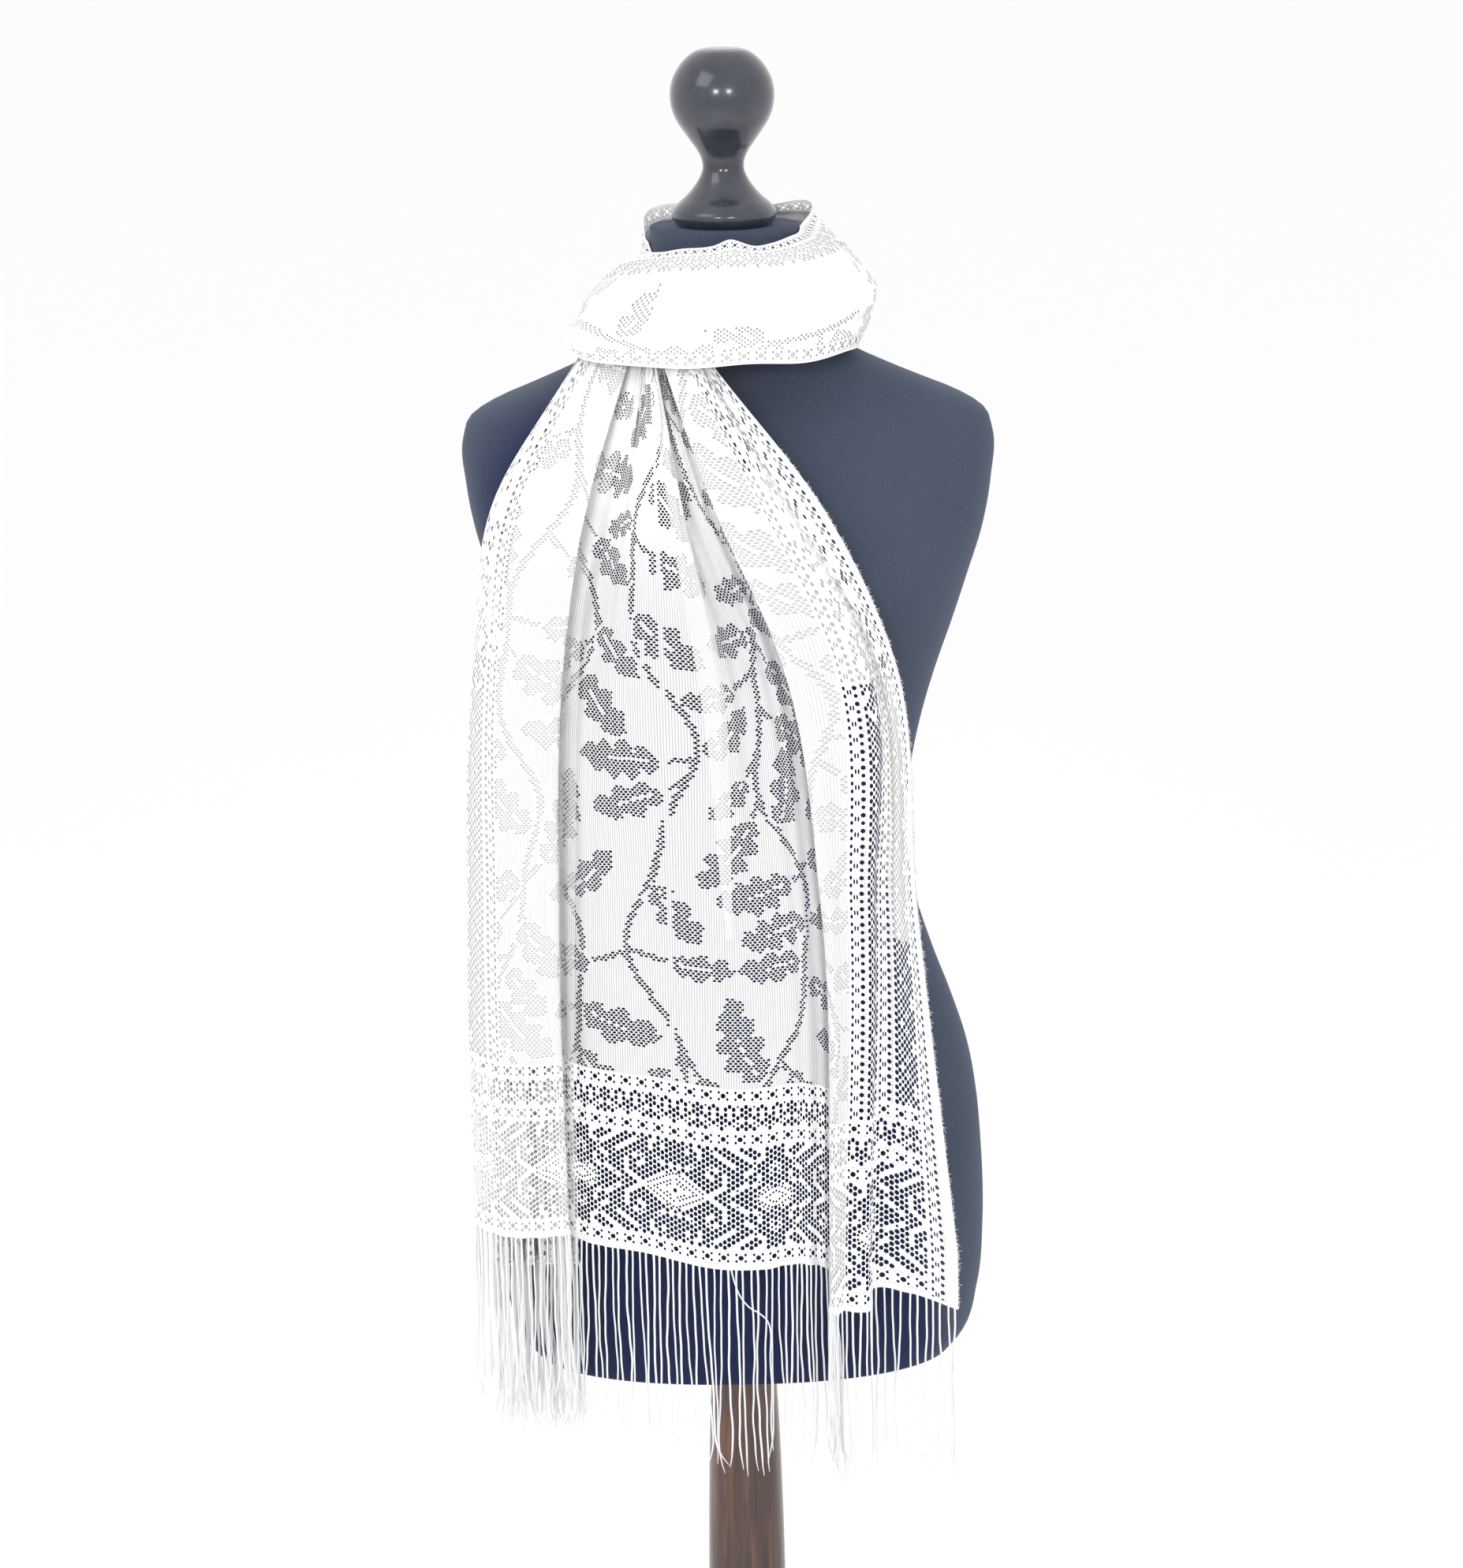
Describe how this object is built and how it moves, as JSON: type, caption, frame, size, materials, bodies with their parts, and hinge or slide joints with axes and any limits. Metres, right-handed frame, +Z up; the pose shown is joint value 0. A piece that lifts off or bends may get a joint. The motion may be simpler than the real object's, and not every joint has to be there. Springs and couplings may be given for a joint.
{
  "type": "lace shawl on dress form",
  "caption": "Long knitted lace shawl with fringed ends, doubled and looped round the neck of a limbless dress form on a turned wooden stand.",
  "frame": {"origin": "on the floor, at the centre of the stand's underside", "axes": "+Z up along the pole, -Y out of the form's chest, +X towards the form's own left arm side"},
  "size_m": [0.4, 0.4, 1.5713],
  "materials": {
    "lace": "soft white knitted lace",
    "jersey": "matt black stretch jersey over foam",
    "lacquer": "turned wood in glossy black lacquer",
    "stand_wood": "turned wood, dark brown gloss varnish"
  },
  "bodies": {
    "root": {"wrap_front": "lace", "wrap_back": "lace", "tail_front": "lace", "tail_under": "lace", "fringe_front": "lace", "fringe_under": "lace", "form_torso": "jersey", "neck_knob": "lacquer", "stand_pole": "stand_wood", "stand_base": "stand_wood"}
  },
  "joints": []
}
